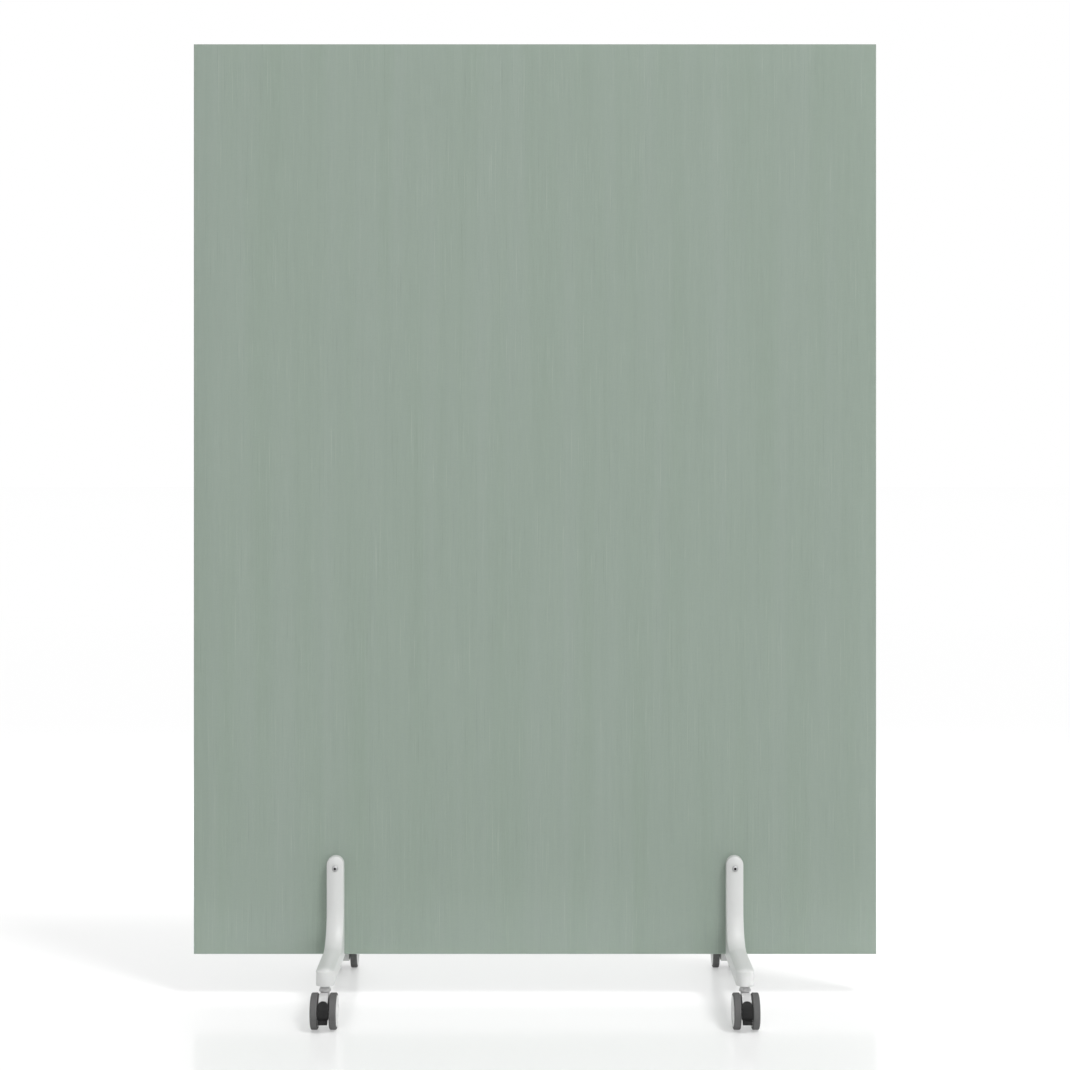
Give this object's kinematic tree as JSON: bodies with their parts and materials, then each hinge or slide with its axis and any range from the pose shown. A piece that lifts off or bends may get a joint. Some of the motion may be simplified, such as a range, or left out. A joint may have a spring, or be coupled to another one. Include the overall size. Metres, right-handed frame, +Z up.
{
  "type": "room divider on wheels",
  "caption": "Free-standing room divider: a tall flat cloth-covered panel held upright by cast arms on swivel casters with foot brakes, to screen off part of a room and roll away.",
  "frame": {"origin": "on the floor, in the middle of the footprint of the wheels", "axes": "+X to the right along the panel, +Y from the front to the back, +Z up"},
  "size_m": [1.2, 0.484, 1.674],
  "materials": {
    "cloth": "matte",
    "felt": "matte",
    "fibre_core": "matte",
    "timber": "matte",
    "spline": "matte",
    "white_coat": "satin",
    "zinc_steel": "satin",
    "grey_nylon": "satin",
    "cap_grey": "satin",
    "disc_grey": "satin",
    "tyre_grey": "matte",
    "pedal_black": "satin"
  },
  "bodies": {
    "screen": {"left_stile": "timber", "right_stile": "timber", "top_rail": "timber", "bottom_rail": "timber", "left_stud": "timber", "right_stud": "timber", "acoustic_core": "fibre_core", "front_felt": "felt", "rear_felt": "felt", "front_cloth": "cloth", "rear_cloth": "cloth", "edge_spline": "spline", "frame_screws": "zinc_steel", "sleeve_nuts": "zinc_steel", "arm_screws": "zinc_steel", "heel_screws": "zinc_steel", "caster_stems": "zinc_steel", "stem_rings": "zinc_steel", "arm_front_left": "white_coat", "arm_front_right": "white_coat", "arm_rear_left": "white_coat", "arm_rear_right": "white_coat"},
    "caster_front_left": {"hood_front_left": "grey_nylon", "bearing_cap_front_left": "cap_grey", "axle_front_left": "zinc_steel"},
    "wheel_front_left_outer": {"hub_front_left_outer": "disc_grey", "tyre_front_left_outer": "tyre_grey"},
    "wheel_front_left_inner": {"hub_front_left_inner": "disc_grey", "tyre_front_left_inner": "tyre_grey"},
    "pedal_left": {"brake_pedal_left": "pedal_black"},
    "bar_left": {"brake_bar_left": "zinc_steel"},
    "caster_front_right": {"hood_front_right": "grey_nylon", "bearing_cap_front_right": "cap_grey", "axle_front_right": "zinc_steel"},
    "wheel_front_right_outer": {"hub_front_right_outer": "disc_grey", "tyre_front_right_outer": "tyre_grey"},
    "wheel_front_right_inner": {"hub_front_right_inner": "disc_grey", "tyre_front_right_inner": "tyre_grey"},
    "pedal_right": {"brake_pedal_right": "pedal_black"},
    "bar_right": {"brake_bar_right": "zinc_steel"},
    "caster_rear_left": {"hood_rear_left": "grey_nylon", "bearing_cap_rear_left": "cap_grey", "axle_rear_left": "zinc_steel"},
    "wheel_rear_left_outer": {"hub_rear_left_outer": "disc_grey", "tyre_rear_left_outer": "tyre_grey"},
    "wheel_rear_left_inner": {"hub_rear_left_inner": "disc_grey", "tyre_rear_left_inner": "tyre_grey"},
    "caster_rear_right": {"hood_rear_right": "grey_nylon", "bearing_cap_rear_right": "cap_grey", "axle_rear_right": "zinc_steel"},
    "wheel_rear_right_outer": {"hub_rear_right_outer": "disc_grey", "tyre_rear_right_outer": "tyre_grey"},
    "wheel_rear_right_inner": {"hub_rear_right_inner": "disc_grey", "tyre_rear_right_inner": "tyre_grey"}
  },
  "joints": [
    {"name": "swivel_front_left", "type": "hinge", "parent": "screen", "child": "caster_front_left", "pos_m": [-0.35, -0.195, 0.07], "axis": [0, 0, 1], "continuous": true},
    {"name": "spin_front_left_outer", "type": "hinge", "parent": "caster_front_left", "child": "wheel_front_left_outer", "pos_m": [-0.35, -0.21, 0.03], "axis": [1, 0, 0], "continuous": true},
    {"name": "spin_front_left_inner", "type": "hinge", "parent": "caster_front_left", "child": "wheel_front_left_inner", "pos_m": [-0.35, -0.21, 0.03], "axis": [1, 0, 0], "continuous": true},
    {"name": "brake_press_left", "type": "hinge", "parent": "caster_front_left", "child": "pedal_left", "pos_m": [-0.35, -0.21, 0.03], "axis": [1, 0, 0], "range_deg": [0, 12]},
    {"name": "brake_bar_slide_left", "type": "slide", "parent": "caster_front_left", "child": "bar_left", "axis": [0, -0.9848, 0.1736], "range_m": [0, 0.0025]},
    {"name": "swivel_front_right", "type": "hinge", "parent": "screen", "child": "caster_front_right", "pos_m": [0.35, -0.195, 0.07], "axis": [0, 0, 1], "continuous": true},
    {"name": "spin_front_right_outer", "type": "hinge", "parent": "caster_front_right", "child": "wheel_front_right_outer", "pos_m": [0.35, -0.21, 0.03], "axis": [1, 0, 0], "continuous": true},
    {"name": "spin_front_right_inner", "type": "hinge", "parent": "caster_front_right", "child": "wheel_front_right_inner", "pos_m": [0.35, -0.21, 0.03], "axis": [1, 0, 0], "continuous": true},
    {"name": "brake_press_right", "type": "hinge", "parent": "caster_front_right", "child": "pedal_right", "pos_m": [0.35, -0.21, 0.03], "axis": [1, 0, 0], "range_deg": [0, 12]},
    {"name": "brake_bar_slide_right", "type": "slide", "parent": "caster_front_right", "child": "bar_right", "axis": [0, -0.9848, 0.1736], "range_m": [0, 0.0025]},
    {"name": "swivel_rear_left", "type": "hinge", "parent": "screen", "child": "caster_rear_left", "pos_m": [-0.35, 0.225, 0.07], "axis": [0, 0, 1], "continuous": true},
    {"name": "spin_rear_left_outer", "type": "hinge", "parent": "caster_rear_left", "child": "wheel_rear_left_outer", "pos_m": [-0.35, 0.21, 0.03], "axis": [1, 0, 0], "continuous": true},
    {"name": "spin_rear_left_inner", "type": "hinge", "parent": "caster_rear_left", "child": "wheel_rear_left_inner", "pos_m": [-0.35, 0.21, 0.03], "axis": [1, 0, 0], "continuous": true},
    {"name": "swivel_rear_right", "type": "hinge", "parent": "screen", "child": "caster_rear_right", "pos_m": [0.35, 0.225, 0.07], "axis": [0, 0, 1], "continuous": true},
    {"name": "spin_rear_right_outer", "type": "hinge", "parent": "caster_rear_right", "child": "wheel_rear_right_outer", "pos_m": [0.35, 0.21, 0.03], "axis": [1, 0, 0], "continuous": true},
    {"name": "spin_rear_right_inner", "type": "hinge", "parent": "caster_rear_right", "child": "wheel_rear_right_inner", "pos_m": [0.35, 0.21, 0.03], "axis": [1, 0, 0], "continuous": true}
  ],
  "couplings": [
    {"joint": "brake_bar_slide_left", "follows": "brake_press_left", "m_per_rad": 0.011935},
    {"joint": "brake_bar_slide_right", "follows": "brake_press_right", "m_per_rad": 0.011935}
  ]
}
